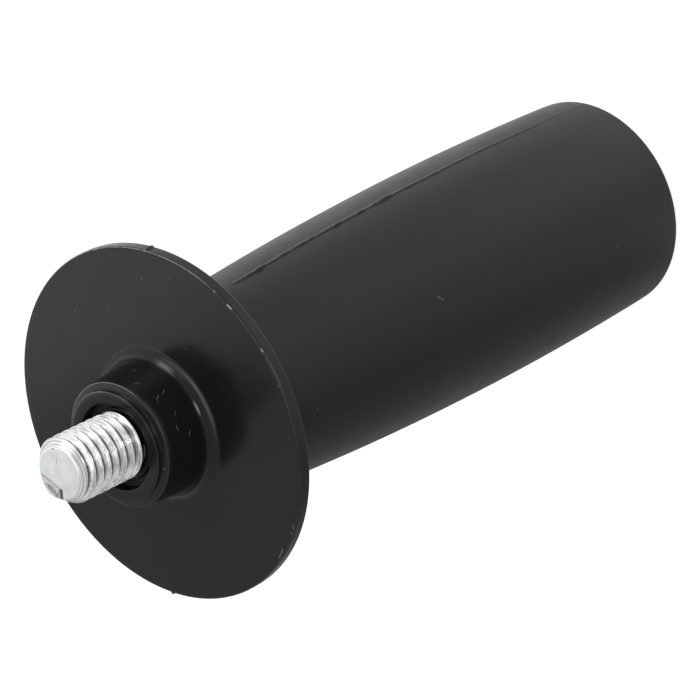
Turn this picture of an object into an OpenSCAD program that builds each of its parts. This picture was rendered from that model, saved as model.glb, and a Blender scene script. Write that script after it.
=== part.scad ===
// Side handle of a hand-held power tool: a moulded grip with a round guard,
// and the steel bolt moulded into it, whose threaded end screws into the tool.
// The handle stands on its open tail. Z runs up its axis and the origin is the
// middle of the tail's flat end. The mould halves part in the XZ plane.

/* [Grip] */
// Length of the grip, from the open tail to the back of the guard
grip_len = 94.8; // [88:0.2:110]
// Largest diameter of the barrel
belly_d = 33.8; // [32:0.2:38]
// Height of the largest diameter above the tail
belly_z = 29.4; // [20:0.2:40]
// Diameter where the barrel runs into the guard
neck_d = 27.3; // [25:0.1:29]
// Fillet between the barrel and the back of the guard
neck_fillet_r = 2; // [1:0.25:4]
// Chamfer round the outer edge of the tail
tail_edge = 0.3; // [0.1:0.1:1]

/* [Guard] */
// Diameter of the guard
guard_d = 51.5; // [44:0.5:70]
// Thickness of the guard
guard_t = 1.95; // [1.4:0.05:4]
// Rounding of both edges of the guard's rim
guard_edge_r = 0.35; // [0.1:0.05:0.6]
// Height of the flash that the mould leaves across the rim, where its halves meet
flash_h = 0.35; // [0.1:0.05:0.5]
// Width of that flash at the rim
flash_w = 0.7; // [0.4:0.05:1]

/* [Boss] */
// Length of the boss, from the front of the guard to the face that seats on the tool
boss_len = 8.8; // [7:0.1:14]
// Diameter at which the boss's tapered wall would meet the guard
boss_root_d = 19.8; // [19:0.2:22]
// Diameter of the boss at its front rim
boss_rim_d = 18.1; // [17.2:0.1:18.6]
// Fillet between the guard and the wall of the boss
boss_fillet_r = 1.7; // [0.5:0.1:2.5]
// Diameter of the seating face
seat_d = 16; // [14.6:0.1:16.4]
// Height of the step up from the shoulder to the seating face
seat_rise = 0.8; // [0.3:0.05:1.2]
// How far the shoulder slopes down from that step to the rim
shoulder_fall = 0.15; // [0.05:0.05:0.5]
// Diameter of the recess round the stud
recess_d = 12.6; // [11.8:0.1:13]
// Depth of the recess below the seating face
recess_depth = 1.8; // [1:0.1:3]
// Wall of the lip of plastic that closes on the stud in the recess
lip_wall = 0.8; // [0.3:0.05:1]
// Height of that lip above the floor of the recess
lip_h = 0.5; // [0.2:0.05:0.7]

/* [Stud] */
// Diameter over the crests of the thread
thread_d = 9.8; // [9.6:0.1:10.2]
// Pitch of the thread, which sets the depth of its groove and the shank under it
thread_pitch = 1.5; // [1:0.25:2]
// Length of the thread past the seating face
stud_out = 10.7; // [8:0.1:25]
// Bare shank between the lip and the first turn of the thread
shank_gap = 0.2; // [0.1:0.05:0.25]
// Chamfer at the end of the thread, along the axis and across
end_chamfer = 1.15; // [0.5:0.05:1.5]
// Length of the bolt, from under its head to its end
bolt_len = 40; // [30:1:46]
// Size of the hexagon head across its flats
head_af = 16; // [15:0.5:18]
// Height of the head
head_h = 6.4; // [5:0.1:8]
// Angle of the chamfer on the head's corners
head_chamfer_angle = 30; // [20:1:40]

/* [Tail core] */
// Wall of the hollow tail at its mouth
tail_wall = 3; // [2.5:0.1:5]
// Draft of the hollow on each side, in degrees
core_draft = 1; // [0.5:0.1:1.5]
// Solid plastic between the bolt's head and the floor of the hollow
core_floor = 8; // [5:0.5:12]
// Rounding of the corner at the floor of the hollow
core_floor_r = 2; // [1:0.25:3]
// Thickness of the cross ribs at their open edge
rib_t = 2; // [1.5:0.1:3]
// Draft of the ribs and their hub on each side, in degrees
rib_draft = 0.5; // [0.2:0.1:1]
// Distance of the ribs and their hub inside the tail's flat end
rib_inset = 3; // [1:0.5:8]
// Number of ribs round the hub
rib_count = 4; // [3:1:6]
// Diameter of the hub where the ribs cross, at its open end
hub_d = 8; // [6:0.5:10]

/* [Hidden] */

// Facets: round the axis, on the small arcs, and on the long arc of the barrel
$fn = 128;
small_fn = 48;
barrel_fn = 720;
// Overlap that joins or cuts without a face in common
eps = 0.5;
// Distance of the rim's flash from the rounded edges
flash_margin = 0.05;
// Height of a metric thread's crest above its pitch line, as a share of the pitch
crest_share = 0.3248;

plastic_colour = [0.105, 0.105, 0.11];
zinc_colour = [0.78, 0.79, 0.79];

// Levels up the axis
guard_z = grip_len + guard_t;
seat_z = guard_z + boss_len;
shoulder_z = seat_z - seat_rise;
rim_z = shoulder_z - shoulder_fall;
recess_z = seat_z - recess_depth;
thread_z = recess_z + lip_h + shank_gap;
stud_top = seat_z + stud_out;
head_top = stud_top - bolt_len;
head_z = head_top - head_h;
core_top = head_z - core_floor;

// The barrel is one long arc, through the belly and the neck
belly_r = belly_d / 2;
neck_drop = (belly_d - neck_d) / 2;
barrel_r = (pow(grip_len - belly_z, 2) + pow(neck_drop, 2)) / (2 * neck_drop);
barrel_x = belly_r - barrel_r;
function barrel_at(z) = barrel_x + sqrt(pow(barrel_r, 2) - pow(z - belly_z, 2));
tail_r = barrel_at(0);

// The neck fillet touches the barrel's arc and the back of the guard
fillet_z = grip_len - neck_fillet_r;
fillet_x = barrel_x + sqrt(pow(barrel_r + neck_fillet_r, 2) - pow(fillet_z - belly_z, 2));
fillet_share = barrel_r / (barrel_r + neck_fillet_r);
touch_x = barrel_x + (fillet_x - barrel_x) * fillet_share;
touch_z = belly_z + (fillet_z - belly_z) * fillet_share;

// The boss's fillet touches the front of the guard and the tapered wall
boss_root_r = boss_root_d / 2;
boss_rim_r = boss_rim_d / 2;
boss_lean = atan((boss_root_r - boss_rim_r) / (rim_z - guard_z));
foot_x = boss_root_r + boss_fillet_r * (1 - sin(boss_lean)) / cos(boss_lean);
foot_z = guard_z + boss_fillet_r;
foot_touch_x = foot_x - boss_fillet_r * cos(boss_lean);
foot_touch_z = foot_z - boss_fillet_r * sin(boss_lean);

// The shank under a rolled thread has the thread's pitch diameter
thread_r = thread_d / 2;
shank_r = thread_r - crest_share * thread_pitch;
lip_r = shank_r + lip_wall;
head_r = head_af / 2 / cos(30);

mouth_r = tail_r - tail_wall;
core_top_r = mouth_r - core_top * tan(core_draft);

// Barrel of the grip, with the small chamfer round its tail
module barrel_profile() {
    difference() {
        intersection() {
            square([belly_r + eps, grip_len]);
            translate([barrel_x, belly_z]) circle(barrel_r, $fn = barrel_fn);
        }
        polygon([[tail_r - tail_edge, 0], [tail_r + tail_edge, -tail_edge],
                 [tail_r + tail_edge, 2 * tail_edge], [tail_r, tail_edge]]);
    }
}

// Material that the neck fillet adds behind the guard
module neck_fillet_profile() {
    difference() {
        polygon([[touch_x, touch_z], [fillet_x, fillet_z], [fillet_x, grip_len + guard_t / 2],
                 [touch_x - eps, grip_len + guard_t / 2], [touch_x - eps, touch_z]]);
        translate([fillet_x, fillet_z]) circle(neck_fillet_r, $fn = small_fn);
    }
}

// Disc of the guard, with both edges of its rim rounded
module guard_profile() {
    rim = guard_d / 2;
    translate([0, grip_len]) square([rim - guard_edge_r, guard_t]);
    translate([0, grip_len + guard_edge_r]) square([rim, guard_t - 2 * guard_edge_r]);
    for (z = [grip_len + guard_edge_r, guard_z - guard_edge_r]) {
        translate([rim - guard_edge_r, z]) circle(guard_edge_r, $fn = small_fn);
    }
}

// Thin triangular fin of flash across the rim of the guard, at the mould's parting plane
module rim_flash() {
    rim = guard_d / 2;
    inset = guard_edge_r + flash_margin;
    translate([0, 0, grip_len + inset]) linear_extrude(guard_t - 2 * inset) {
        polygon([[rim - flash_h, -flash_w], [rim + flash_h, 0], [rim - flash_h, flash_w]]);
    }
}

// Tapered boss, with its shoulder and its raised seating face
module boss_profile() {
    sunk_z = guard_z - guard_t / 2;
    polygon([[0, sunk_z], [foot_touch_x, sunk_z], [foot_touch_x, foot_touch_z], [boss_rim_r, rim_z],
             [seat_d / 2, shoulder_z], [seat_d / 2, seat_z], [0, seat_z]]);
}

// Material that the fillet adds round the foot of the boss
module boss_fillet_profile() {
    sunk_z = guard_z - guard_t / 2;
    difference() {
        polygon([[foot_touch_x, foot_touch_z], [foot_x, foot_z], [foot_x, sunk_z],
                 [foot_touch_x - eps, sunk_z], [foot_touch_x - eps, foot_touch_z]]);
        translate([foot_x, foot_z]) circle(boss_fillet_r, $fn = small_fn);
    }
}

// Recess round the stud, with the lip of plastic left standing in it
module recess_profile() {
    translate([lip_r, recess_z]) square([recess_d / 2 - lip_r, recess_depth + eps]);
    translate([0, recess_z + lip_h]) square([lip_r + eps, recess_depth - lip_h + eps]);
}

// Tapered hollow in the tail, rounded at its floor
module core_profile() {
    corner_r = core_top_r + core_floor_r * tan(core_draft);
    polygon([[0, -eps], [mouth_r + eps * tan(core_draft), -eps], [corner_r, core_top - core_floor_r],
             [corner_r - core_floor_r, core_top - core_floor_r], [0, core_top - core_floor_r]]);
    translate([0, core_top - core_floor_r - eps]) square([corner_r - core_floor_r, core_floor_r + eps]);
    translate([corner_r - core_floor_r, core_top - core_floor_r]) circle(core_floor_r, $fn = small_fn);
}

// Ribs that cross the hollow, thicker at its floor than at their open edge
module ribs() {
    height = core_top + core_floor / 2 - rib_inset;
    half_open = rib_t / 2;
    half_floor = half_open + height * tan(rib_draft);
    translate([0, 0, rib_inset]) {
        cylinder(r1 = hub_d / 2, r2 = hub_d / 2 + height * tan(rib_draft), h = height);
        for (i = [0:rib_count - 1]) {
            rotate([90, 0, 90 + i * 360 / rib_count]) {
                linear_extrude(tail_r - tail_wall / 2) {
                    polygon([[-half_open, 0], [half_open, 0], [half_floor, height], [-half_floor, height]]);
                }
            }
        }
    }
}

// Bolt from its head to its end, without the turns of its thread
module bolt() {
    rise = (head_r - head_af / 2) * tan(head_chamfer_angle);
    intersection() {
        translate([0, 0, head_z]) cylinder(r = head_r, h = head_h, $fn = 6);
        translate([0, 0, head_z]) {
            cylinder(r1 = head_af / 2, r2 = head_r + eps, h = rise + eps * tan(head_chamfer_angle));
            translate([0, 0, rise]) cylinder(r = head_r + eps, h = head_h);
        }
    }
    rotate_extrude() {
        polygon([[0, head_top - head_h / 2], [shank_r, head_top - head_h / 2], [shank_r, thread_z],
                 [thread_r, thread_z], [thread_r, stud_top - end_chamfer],
                 [thread_r - end_chamfer, stud_top], [0, stud_top]]);
    }
}

module handle_body() {
    color(plastic_colour) {
        difference() {
            union() {
                rotate_extrude() {
                    barrel_profile();
                    neck_fillet_profile();
                    guard_profile();
                    boss_profile();
                    boss_fillet_profile();
                }
                rim_flash();
                rotate(180) rim_flash();
            }
            rotate_extrude() recess_profile();
            difference() {
                rotate_extrude() core_profile();
                ribs();
            }
            bolt();
        }
    }
}

module threaded_stud() {
    color(zinc_colour) bolt();
}

handle_body();
threaded_stud();
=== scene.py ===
# %% [markdown]
# A side handle for a power tool, made in Blender around its CAD model.
# The real handle is one black plastic moulding with a steel bolt moulded into it.
# It has a barrel-shaped grip with a hollow tail, a thin round guard that keeps the hand off the tool,
# a short boss that seats on the tool, and the threaded end of the bolt.
# Every surface here is worked out with numpy: a profile in radius and height is turned round the Z axis,
# and small functions of height and angle then add what the mould and the use have left on it.
# The CAD model gives the frame: metres, Z up the axis, the origin in the middle of the tail's flat end.

import math

import bpy
import numpy as np
from mathutils import Matrix, Vector


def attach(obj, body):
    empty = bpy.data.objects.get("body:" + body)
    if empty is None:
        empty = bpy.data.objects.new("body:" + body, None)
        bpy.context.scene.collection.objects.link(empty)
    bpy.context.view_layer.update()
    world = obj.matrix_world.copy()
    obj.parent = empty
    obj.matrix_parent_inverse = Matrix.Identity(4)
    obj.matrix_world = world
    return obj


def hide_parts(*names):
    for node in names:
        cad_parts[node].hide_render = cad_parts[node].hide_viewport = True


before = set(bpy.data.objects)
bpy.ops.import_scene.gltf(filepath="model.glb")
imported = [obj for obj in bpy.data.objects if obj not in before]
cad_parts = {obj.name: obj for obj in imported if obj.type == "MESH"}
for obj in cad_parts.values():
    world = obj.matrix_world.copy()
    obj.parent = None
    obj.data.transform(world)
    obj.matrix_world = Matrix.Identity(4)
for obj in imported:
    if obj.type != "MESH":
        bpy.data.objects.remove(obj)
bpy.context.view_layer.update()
MM = 0.001
print("CAD nodes:", sorted(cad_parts))

# %% [markdown]
# The camera comes first, because every later choice is judged through it.
# A camera and a profile of a solid of revolution were fitted to the outline in the photograph.
# The result is a long lens about 0.7 m away. It looks down the stud at the front of the guard, and it is
# rolled, so that the handle seems to lie with its stud towards the lower left.
# The three axes of the camera are written out, because they are what such a fit gives.

# %% Camera
def new_object(name, data):
    """An object of that data, linked to the scene."""
    made = bpy.data.objects.new(name, data)
    bpy.context.scene.collection.objects.link(made)
    return made


CAMERA_PLACE = Vector((257.20, -399.37, 504.62)) * MM
CAMERA_RIGHT = Vector((-0.051802, -0.760232, -0.647583))
CAMERA_BACK = Vector((0.398399, -0.610350, 0.684654))
LENS = 235.06
SENSOR = 36.0

camera_data = bpy.data.cameras.new("camera")
camera_data.lens = LENS
camera_data.sensor_width = SENSOR
camera_data.clip_start = 0.05
camera_data.clip_end = 20.0
camera = new_object("camera", camera_data)
camera_up = CAMERA_BACK.cross(CAMERA_RIGHT)
axes = Matrix((CAMERA_RIGHT, camera_up, CAMERA_BACK)).transposed()
camera.matrix_world = Matrix.Translation(CAMERA_PLACE) @ axes.to_4x4()
bpy.context.scene.camera = camera
guard_middle = Vector((0, 0, 96.75 * MM))
print("Camera to guard, m:", round((CAMERA_PLACE - guard_middle).length, 3))

# %% [markdown]
# A material is a tree of nodes, and a tree is easiest to read as a formula. So each helper here adds a node
# and returns what the next one needs. An input that is given as a socket is linked, and any other is set.
# Groups hold an effect that more than one material uses.

# %% Helpers for node trees
def add_node(tree, kind, inputs=None, **settings):
    """A new node with its settings. Each input, by name or number, is linked to a socket or set."""
    node = tree.nodes.new(kind)
    for name, value in settings.items():
        setattr(node, name, value)
    for name, value in (inputs or {}).items():
        if isinstance(value, bpy.types.NodeSocket):
            tree.links.new(value, node.inputs[name])
        else:
            node.inputs[name].default_value = value
    return node


def calc(tree, operation, *values, **settings):
    """The result of one math operation."""
    node = add_node(tree, "ShaderNodeMath", dict(enumerate(values)), operation=operation, **settings)
    return node.outputs["Value"]


def chain(tree, operation, total, *values):
    """One operation on any number of values, two at a time: a product, or the largest of several masks."""
    for value in values:
        total = calc(tree, operation, total, value)
    return total


def vector_calc(tree, operation, first, second=None):
    """The result of one vector operation, which is a number for a length, a distance or a dot product."""
    inputs = {0: first}
    if second is not None:
        inputs["Scale" if operation == "SCALE" else 1] = second
    node = add_node(tree, "ShaderNodeVectorMath", inputs, operation=operation)
    return node.outputs["Value" if operation in ("LENGTH", "DISTANCE", "DOT_PRODUCT") else "Vector"]


def ramp(tree, value, start, end, low=0.0, high=1.0, kind="LINEAR"):
    """A value, taken from the range start to end, which may run down, to the range low to high."""
    inputs = {"Value": value, "From Min": start, "From Max": end, "To Min": low, "To Max": high}
    return add_node(tree, "ShaderNodeMapRange", inputs, interpolation_type=kind).outputs["Result"]


def mix(tree, kind, share, first, second):
    """A mix of two numbers, if the kind is FLOAT, or of two colours, if it is RGBA."""
    inputs = {"Factor": share, "A": first, "B": second}
    return add_node(tree, "ShaderNodeMix", inputs, data_type=kind).outputs["Result"]


def mix_shaders(tree, share, first, second):
    """A mix of the shaders that two nodes put out."""
    return add_node(tree, "ShaderNodeMixShader", {"Fac": share, 1: first.outputs[0], 2: second.outputs[0]})


def object_place(tree):
    """The place on the object, in metres."""
    return add_node(tree, "ShaderNodeTexCoord").outputs["Object"]


def new_material(name):
    """A material with an empty tree of nodes, and that tree."""
    material = bpy.data.materials.new(name)
    material.use_nodes = True
    material.node_tree.nodes.clear()
    return material, material.node_tree


def end_material(tree, inputs):
    """The last nodes of a material: its shader, with its inputs, and the output."""
    shader = add_node(tree, "ShaderNodeBsdfPrincipled", inputs)
    add_node(tree, "ShaderNodeOutputMaterial", {"Surface": shader.outputs[0]})


def new_group(name, **inputs):
    """An empty shader group and its inputs, with _ for each space. None makes a vector, else a number."""
    group = bpy.data.node_groups.new(name, "ShaderNodeTree")
    for socket_name, value in inputs.items():
        kind = "NodeSocketVector" if value is None else "NodeSocketFloat"
        socket = group.interface.new_socket(socket_name.replace("_", " "), in_out="INPUT", socket_type=kind)
        if value is not None:
            socket.default_value = value
    return group, add_node(group, "NodeGroupInput").outputs


def put_out(group, **results):
    """Ends a group: each result gets an output of its name."""
    for name in results:
        group.interface.new_socket(name, in_out="OUTPUT", socket_type="NodeSocketFloat")
    add_node(group, "NodeGroupOutput", results)


def use_group(tree, group, **values):
    """Places a group in a tree and gives its outputs. In the names of values, _ stands for a space."""
    inputs = {name.replace("_", " "): value for name, value in values.items()}
    return add_node(tree, "ShaderNodeGroup", inputs, node_tree=group).outputs


# %% [markdown]
# Nearly black plastic shows hardly any colour of its own. What is seen on it is the reflection of the
# studio, so the studio is most of the work. It is built from soft lobes: round patches of light with no
# edge, each with a direction, a width and a strength. A lobe is 1 near its middle and falls smoothly to 0
# at its outer angle. The same helper serves the tent overhead and the table that the grip mirrors.

# %% Soft lobes of light
def heading(azimuth, elevation=0.0):
    """Unit vector from an azimuth, counted from +X towards +Y, and an elevation, both in degrees."""
    turn, rise = math.radians(azimuth), math.radians(elevation)
    return Vector((math.cos(turn) * math.cos(rise), math.sin(turn) * math.cos(rise), math.sin(rise)))


def soft_lobe(tree, direction, axis, inner, outer):
    """Smooth step of the cosine between a direction and the axis: 0 at the outer angle, 1 at the inner."""
    lowest, highest = math.cos(math.radians(outer)), math.cos(math.radians(inner))
    return ramp(tree, vector_calc(tree, "DOT_PRODUCT", direction, axis), lowest, highest, kind="SMOOTHSTEP")


def lobe_sum(tree, direction, total, lobes):
    """A base strength plus each lobe times its own strength, and never less than 0."""
    for axis, inner, outer, strength in lobes:
        total = calc(tree, "MULTIPLY_ADD", soft_lobe(tree, direction, axis, inner, outer), strength, total)
    return calc(tree, "MAXIMUM", total, 0.0)


# %% [markdown]
# The studio is a white tent. The camera sees it as plain white. Everything else sees its lobes. Two hang
# overhead, for the front of the boss and the thread. Two stand at the side, one above the other, and draw
# the bright stripe down the fillet at the foot of the boss. A small one stands low beside the camera, for
# the thin second stripe there, and a wide weak one lifts the far side. The directions are counted from
# the camera's own side, which is easier to think in.

# %% Studio
CAMERA_SIDE = math.degrees(math.atan2(CAMERA_BACK.y, CAMERA_BACK.x))
TENT_BASE = 0.64
TENT_LOBES = [
    (heading(CAMERA_SIDE, 88.0), 4.0, 24.0, 2.20),
    (heading(CAMERA_SIDE + 95.0, 68.0), 4.0, 22.0, 1.40),
    (heading(CAMERA_SIDE + 120.0, 30.0), 10.0, 50.0, 0.35),
    (heading(CAMERA_SIDE - 4.0, 4.0), 4.0, 12.0, 10.00),
    (heading(CAMERA_SIDE + 70.0, 3.0), 6.0, 20.0, 4.60),
    (heading(CAMERA_SIDE + 76.0, 24.0), 5.0, 18.0, 3.00),
]
WHITE = (1.0, 1.0, 1.0, 1.0)

world = bpy.data.worlds.new("white_tent")
bpy.context.scene.world = world
world.use_nodes = True
tent = world.node_tree
tent.nodes.clear()
direction = add_node(tent, "ShaderNodeTexCoord").outputs["Generated"]
path = add_node(tent, "ShaderNodeLightPath").outputs
tent_glow = lobe_sum(tent, direction, TENT_BASE, TENT_LOBES)
lit = add_node(tent, "ShaderNodeBackground", {"Color": WHITE, "Strength": tent_glow})
seen = add_node(tent, "ShaderNodeBackground", {"Color": WHITE, "Strength": 1.0})
either = mix_shaders(tent, path["Is Camera Ray"], lit, seen)
add_node(tent, "ShaderNodeOutputWorld", {"Surface": either.outputs["Shader"]})

bpy.context.scene.view_settings.view_transform = "Standard"
print("lobes of the tent:", len(TENT_LOBES))

# %% [markdown]
# The floor is a pale sheet. The camera sees it white, with the object's shadow left in it as a faint grey.
# Mirror-like surfaces see soft lobes on it instead, by direction round the axis. On the grip, which stands
# upright, every reflection goes down to this table, so these lobes are the light and dark bands along it.

# %% Floor
FLOOR_HALF = 3.0
FLOOR_GLOW = 0.86
FLOOR_TINT = (0.30, 0.30, 0.30, 1.0)
FLOOR_PLAIN = (0.8, 0.8, 0.8, 1.0)
TABLE_BASE = 0.42
TABLE_LOBES = [
    (heading(CAMERA_SIDE), 5.0, 60.0, 0.52),
    (heading(CAMERA_SIDE + 45.0), 5.0, 60.0, 0.48),
    (heading(CAMERA_SIDE + 90.0), 5.0, 60.0, 0.12),
    (heading(CAMERA_SIDE + 135.0), 5.0, 60.0, 0.52),
]

floor_mesh = bpy.data.meshes.new("floor")
floor_corners = [(x * FLOOR_HALF, y * FLOOR_HALF, 0) for x, y in ((-1, -1), (1, -1), (1, 1), (-1, 1))]
floor_mesh.from_pydata(floor_corners, [], [(0, 1, 2, 3)])
floor = new_object("floor", floor_mesh)

paper, tree = new_material("pale_paper")
path = add_node(tree, "ShaderNodeLightPath").outputs
glow = add_node(tree, "ShaderNodeEmission", {"Color": WHITE, "Strength": FLOOR_GLOW})
shade = add_node(tree, "ShaderNodeBsdfDiffuse", {"Color": FLOOR_TINT})
for_camera = add_node(tree, "ShaderNodeAddShader", {0: glow.outputs[0], 1: shade.outputs[0]})
plain = add_node(tree, "ShaderNodeBsdfDiffuse", {"Color": FLOOR_PLAIN})
outwards = vector_calc(tree, "NORMALIZE", object_place(tree))
table_glow = lobe_sum(tree, outwards, TABLE_BASE, TABLE_LOBES)
mirrored = add_node(tree, "ShaderNodeEmission", {"Color": WHITE, "Strength": table_glow})
mirror_like = calc(tree, "MAXIMUM", path["Is Glossy Ray"], path["Is Transmission Ray"])
not_camera = mix_shaders(tree, mirror_like, plain, mirrored)
all_rays = mix_shaders(tree, path["Is Camera Ray"], not_camera, for_camera)
add_node(tree, "ShaderNodeOutputMaterial", {"Surface": all_rays.outputs["Shader"]})
floor_mesh.materials.append(paper)
print("lobes of the table:", len(TABLE_LOBES))

# %% [markdown]
# Two soft lamps stand in the tent. The key lamp is wide and far, and gives edges a direction to be lit from.
# The panel hangs close behind the guard, on the side of the parting line. The guard's flat front mirrors it,
# and because it is near, its reflection fades out across the guard, from light at one side to dark at the
# other. The lamps are hidden from the camera, so that no other view meets one.

# %% Lamps
def soft_lamp(name, shape, size, watts, place, target):
    """An area lamp at a place, facing a target, both in metres."""
    lamp_data = bpy.data.lights.new(name, "AREA")
    lamp_data.shape = shape
    lamp_data.size = size
    lamp_data.energy = watts
    lamp = new_object(name, lamp_data)
    lamp.location = place
    lamp.rotation_mode = "QUATERNION"
    lamp.rotation_quaternion = (place - target).to_track_quat("Z", "Y")
    lamp.visible_camera = False
    return lamp


KEY_WATTS = 0.9
KEY_SIZE, KEY_REACH = 0.9, 1.1
PANEL_WATTS = 0.0098
PANEL_WIDTH, PANEL_HEIGHT = 0.04, 0.12
PANEL_REACH = 0.16
PANEL_SHIFT = 0.033

middle = Vector((0, 0, 0.06))
key_way = Vector((0.80, 0.25, 0.75)).normalized()
soft_lamp("key_lamp", "DISK", KEY_SIZE, KEY_WATTS, middle + key_way * KEY_REACH, middle)
mirrored_way = heading(CAMERA_SIDE + 180.0, 43.2)
panel_place = guard_middle + mirrored_way * PANEL_REACH + heading(CAMERA_SIDE + 90.0) * PANEL_SHIFT
panel_aim = panel_place - mirrored_way
panel = soft_lamp("panel_lamp", "RECTANGLE", PANEL_WIDTH, PANEL_WATTS, panel_place, panel_aim)
panel.data.size_y = PANEL_HEIGHT
print("panel at, mm:", [round(v / MM, 1) for v in panel_place])


# %% [markdown]
# Every piece is a grid: rows run along the profile, and columns run round the axis.
# A profile starts and ends on the axis, where a whole row shrinks to one point, so those rows become
# single vertices with a fan of triangles. Quads fill the rest, and the last column joins the first.
# The result is closed, and each face points outwards when the profile runs with the solid on its right.

# %% Grid to mesh
def turned_mesh(name, rows):
    """A closed mesh from rows of points, shaped (rows, columns, 3). The first and last rows are poles."""
    count, columns = rows.shape[0] - 2, rows.shape[1]
    points = np.concatenate([rows[0, :1], rows[1:-1].reshape(-1, 3), rows[-1, :1]])
    here = np.arange(columns)
    after = (here + 1) % columns
    first = 1 + columns * np.arange(count - 1)[:, None]
    quads = np.stack([first + here, first + after, first + columns + after, first + columns + here], -1)
    last_row = 1 + columns * (count - 1)
    start_fan = np.stack([np.zeros(columns, int), 1 + after, 1 + here], -1)
    end_fan = np.stack([np.full(columns, len(points) - 1), last_row + here, last_row + after], -1)
    corners = np.concatenate([quads.ravel(), start_fan.ravel(), end_fan.ravel()])
    sizes = np.concatenate([np.full(quads.size // 4, 4), np.full(2 * columns, 3)])
    mesh = bpy.data.meshes.new(name)
    mesh.vertices.add(len(points))
    mesh.vertices.foreach_set("co", (points * MM).astype(np.float32).ravel())
    mesh.loops.add(len(corners))
    mesh.loops.foreach_set("vertex_index", corners.astype(np.int32))
    mesh.polygons.add(len(sizes))
    mesh.polygons.foreach_set("loop_start", np.concatenate([[0], np.cumsum(sizes)[:-1]]).astype(np.int32))
    mesh.polygons.foreach_set("use_smooth", np.ones(len(sizes), bool))
    mesh.update(calc_edges=True)
    mesh.validate()
    print(name, "rows", rows.shape[0], "columns", columns, "triangles", int((sizes - 2).sum()))
    return mesh


def finished_piece(name, mesh, material, slot_name, *nodes):
    """An object at the origin with its material, riding on the one body and standing for the named nodes."""
    piece = new_object(name, mesh)
    mesh.materials.append(material)
    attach(piece, "root")
    if nodes:
        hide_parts(*nodes)


# %% [markdown]
# A moulded or turned profile is a chain of straight lines and arcs, and no real corner is perfectly sharp.
# So a profile is written as corners, each with the radius of its rounding, and this helper turns it into
# points. At each corner the arc touches both lines: its centre lies on the corner's bisector.

# %% Profile with rounded corners
def rounded_profile(corners, spacing):
    """Points along a chain of corners (radius, height, rounding), with a tangent arc at each rounding."""
    place = np.array([c[:2] for c in corners], float)
    pieces = [place[:1]]
    for i in range(1, len(place) - 1):
        before, after = place[i - 1] - place[i], place[i + 1] - place[i]
        before, after = before / np.linalg.norm(before), after / np.linalg.norm(after)
        rounding = corners[i][2]
        if rounding <= 0:
            pieces.append(place[i:i + 1])
            continue
        half = math.acos(float(np.clip(before @ after, -1, 1))) / 2
        bisector = (before + after) / np.linalg.norm(before + after)
        centre = place[i] + bisector * rounding / math.sin(half)
        reach = rounding / math.tan(half)
        start, end = place[i] + before * reach - centre, place[i] + after * reach - centre
        turn = math.atan2(start[0] * end[1] - start[1] * end[0], start @ end)
        angles = math.atan2(start[1], start[0]) + turn * np.linspace(0, 1, 5 + int(8 * rounding))
        pieces.append(centre + rounding * np.stack([np.cos(angles), np.sin(angles)], -1))
    pieces.append(place[-1:])
    return filled(np.concatenate(pieces), spacing)


def filled(chain, spacing):
    """The same chain, with evenly spaced points added between neighbours further apart than spacing."""
    steps = np.linalg.norm(np.diff(chain, axis=0), axis=1)
    counts = np.maximum(1, np.ceil(steps / spacing)).astype(int)
    starts = np.repeat(np.arange(len(counts)), counts)
    share = (np.arange(counts.sum()) - np.repeat(np.cumsum(counts) - counts, counts)) / counts[starts]
    inside = chain[starts] + (chain[starts + 1] - chain[starts]) * share[:, None]
    return np.concatenate([inside, chain[-1:]])


# %% [markdown]
# These are the sizes of the moulding, in millimetres, the same as the named values of the CAD source.
# The barrel of the grip is one long arc. Its radius follows from how far it drops from belly to neck.

# %% Sizes of the moulding
GRIP_LEN, GUARD_T, BOSS_LEN = 94.8, 1.95, 8.8
BELLY_R, BELLY_Z, NECK_R, NECK_FILLET = 16.9, 29.4, 13.65, 2.0
GUARD_R, GUARD_EDGE = 25.75, 0.35
BOSS_ROOT_R, BOSS_RIM_R, BOSS_FILLET = 9.9, 9.05, 1.7
SEAT_R, SEAT_RISE, SHOULDER_FALL = 8.0, 0.8, 0.15
RECESS_R, RECESS_DEPTH, LIP_WALL, LIP_H = 6.3, 1.8, 0.8, 0.5
TAIL_WALL, TAIL_EDGE, CORE_FLOOR_R, CORE_DRAFT = 3.0, 0.3, 2.0, math.radians(1.0)
THREAD_R, PITCH, STUD_OUT, END_CHAMFER = 4.9, 1.5, 10.7, 1.15
BOLT_LEN, HEAD_AF, HEAD_H, CORE_FLOOR = 40.0, 16.0, 6.4, 8.0
CREST_SHARE = 0.3248

guard_z = GRIP_LEN + GUARD_T
seat_z = guard_z + BOSS_LEN
shoulder_z = seat_z - SEAT_RISE
rim_z = shoulder_z - SHOULDER_FALL
recess_z = seat_z - RECESS_DEPTH
stud_top = seat_z + STUD_OUT
head_top = stud_top - BOLT_LEN
head_z = head_top - HEAD_H
core_top = head_z - CORE_FLOOR
shank_r = THREAD_R - CREST_SHARE * PITCH
lip_r = shank_r + LIP_WALL
barrel_r = ((GRIP_LEN - BELLY_Z) ** 2 + (BELLY_R - NECK_R) ** 2) / (2 * (BELLY_R - NECK_R))
barrel_x = BELLY_R - barrel_r


def barrel_at(z):
    """Radius of the barrel at a height: the long arc through its belly and its neck."""
    return barrel_x + np.sqrt(barrel_r ** 2 - (z - BELLY_Z) ** 2)


tail_r = float(barrel_at(0.0))
mouth_r = tail_r - TAIL_WALL
core_top_r = mouth_r - core_top * math.tan(CORE_DRAFT)
print("levels, mm: guard", guard_z, "seat", seat_z, "stud end", stud_top, "hollow", round(core_top, 2))

# %% [markdown]
# The moulding is one closed skin. Its profile starts on the axis at the floor of the hollow tail, runs
# out of the tail, up the barrel, round the guard and over the boss, and goes down beside the bolt to end
# on the axis again, under the bolt's head. In the pocket of the head, the radius follows the hexagon
# instead of a circle.

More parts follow.
